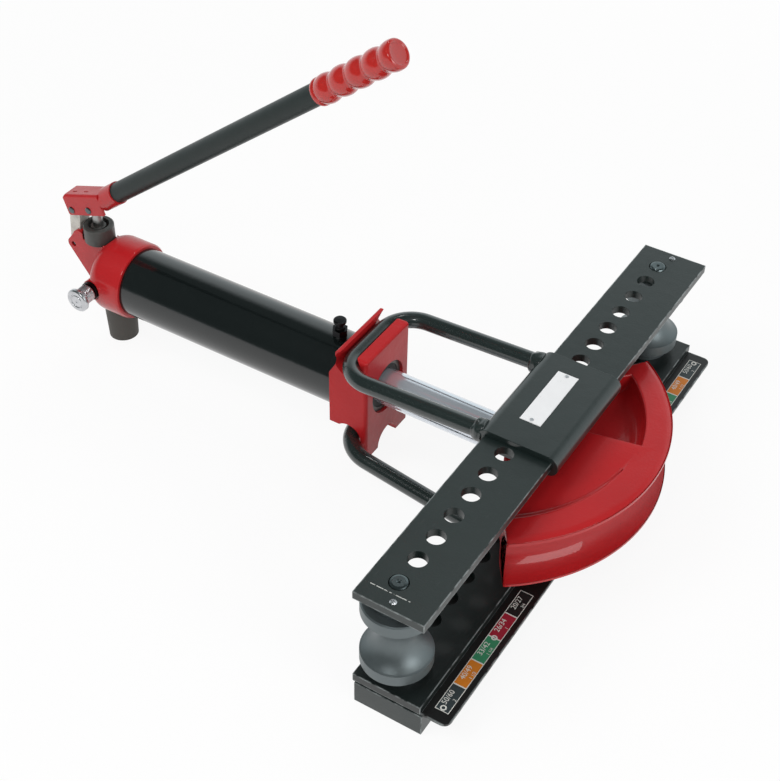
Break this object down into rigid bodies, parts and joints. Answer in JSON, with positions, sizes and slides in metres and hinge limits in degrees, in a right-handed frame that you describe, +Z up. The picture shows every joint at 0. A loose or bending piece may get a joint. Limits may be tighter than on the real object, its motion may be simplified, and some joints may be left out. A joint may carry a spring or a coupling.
{
  "type": "hydraulic pipe bender",
  "caption": "Hydraulic pipe bender with a hand pump, a ram, a grooved former and two rollers between hinged wings",
  "frame": {"origin": "On the ground under the ram's axis, in line with the roller pins, at the rest face of the wing foot", "axes": "+X along the ram from the pump to the former, +Y along the wings, +Z up"},
  "size_m": [0.8094, 0.676, 0.5467],
  "materials": {
    "red_enamel": "glossy enamel over a casting",
    "tube_enamel": "glossy black enamel",
    "frame_paint": "satin dark grey paint with bright worn edges",
    "plate_black": "printed black sheet",
    "machined_steel": "turned steel",
    "blackened_steel": "black oxide",
    "gunmetal": "dark phosphated steel",
    "bright_zinc": "bright zinc plate",
    "chrome": "hard chrome",
    "bronze": "bearing bronze",
    "seal_rubber": "nitrile",
    "foot_rubber": "dark hard rubber",
    "grip_red": "glossy moulded vinyl",
    "blank_plate": "white lacquered plate"
  },
  "bodies": {
    "root": {"foot_channel": "frame_paint", "scale_plate": "plate_black", "lower_wing": "frame_paint", "lower_sleeve": "frame_paint", "lower_hoop": "frame_paint", "front_bracket": "red_enamel", "reservoir_tube": "tube_enamel", "pressure_cylinder": "machined_steel", "ram_gland_nut": "blackened_steel", "ram_guide_bush": "bronze", "ram_wiper": "seal_rubber", "roller_pin_near": "gunmetal", "roller_pin_far": "gunmetal", "pump_head": "red_enamel", "pump_gland_nut": "blackened_steel", "plunger_seal": "seal_rubber", "suction_valve": "machined_steel", "delivery_valve": "machined_steel", "release_valve_collar": "blackened_steel", "rear_foot": "foot_rubber", "rear_foot_stud": "machined_steel", "vent_boss": "tube_enamel", "lug_pin": "bright_zinc"},
    "upper_frame": {"upper_wing": "frame_paint", "upper_sleeve": "frame_paint", "upper_hoop": "frame_paint", "name_plate": "blank_plate", "name_plate_rivets": "bright_zinc", "wing_end_screws": "bright_zinc"},
    "ram": {"ram_rod": "chrome", "piston": "machined_steel", "piston_seal": "seal_rubber", "piston_nut": "blackened_steel"},
    "former": {"bending_former": "red_enamel"},
    "near_roller": {"roller_near": "gunmetal", "roller_bush_near": "bronze"},
    "far_roller": {"roller_far": "gunmetal", "roller_bush_far": "bronze"},
    "lever_link": {"link": "machined_steel"},
    "lever": {"lever_block": "red_enamel", "lever_link_pin": "bright_zinc", "lever_plunger_pin": "bright_zinc", "lever_socket": "red_enamel", "lever_tube": "tube_enamel", "lever_grip": "grip_red"},
    "plunger": {"pump_plunger": "machined_steel"},
    "release_valve": {"release_valve_spindle": "machined_steel", "release_valve_knob": "bright_zinc"},
    "vent": {"vent_screw": "blackened_steel"}
  },
  "joints": [
    {"name": "upper_frame_swing", "type": "hinge", "parent": "root", "child": "upper_frame", "pos_m": [-0.2245, 0, 0.155], "axis": [0, -1, 0], "range_deg": [0, 60]},
    {"name": "ram_slide", "type": "slide", "parent": "root", "child": "ram", "axis": [1, 0, 0], "range_m": [-0.135, 0.03]},
    {"name": "former_slide_off", "type": "slide", "parent": "ram", "child": "former", "axis": [1, 0, 0], "range_m": [0, 0.05]},
    {"name": "lever_swing", "type": "hinge", "parent": "lever_link", "child": "lever", "pos_m": [-0.65682, 0, 0.18342], "axis": [0, 1, 0], "range_deg": [-6, 28]},
    {"name": "link_swing", "type": "hinge", "parent": "root", "child": "lever_link", "pos_m": [-0.6623, 0, 0.1295], "axis": [0, 1, 0], "range_deg": [-2.4, 0.6]},
    {"name": "pump_stroke", "type": "slide", "parent": "root", "child": "plunger", "axis": [0, 0, 1], "range_m": [-0.0135, 0.003]},
    {"name": "near_roller_spin", "type": "hinge", "parent": "root", "child": "near_roller", "pos_m": [0, -0.3, 0.1], "axis": [0, 0, 1], "continuous": true},
    {"name": "far_roller_spin", "type": "hinge", "parent": "root", "child": "far_roller", "pos_m": [0, 0.3, 0.1], "axis": [0, 0, 1], "continuous": true},
    {"name": "release_valve_turn", "type": "hinge", "parent": "root", "child": "release_valve", "pos_m": [-0.609, -0.06, 0.1], "axis": [0, -1, 0], "range_deg": [0, 270]},
    {"name": "vent_screw_turn", "type": "hinge", "parent": "root", "child": "vent", "pos_m": [-0.2655, 0, 0.155], "axis": [0, 0, 1], "range_deg": [0, 360]}
  ],
  "couplings": [
    {"joint": "link_swing", "follows": "lever_swing", "ratio": -0.076},
    {"joint": "pump_stroke", "follows": "lever_swing", "m_per_rad": -0.02665}
  ]
}
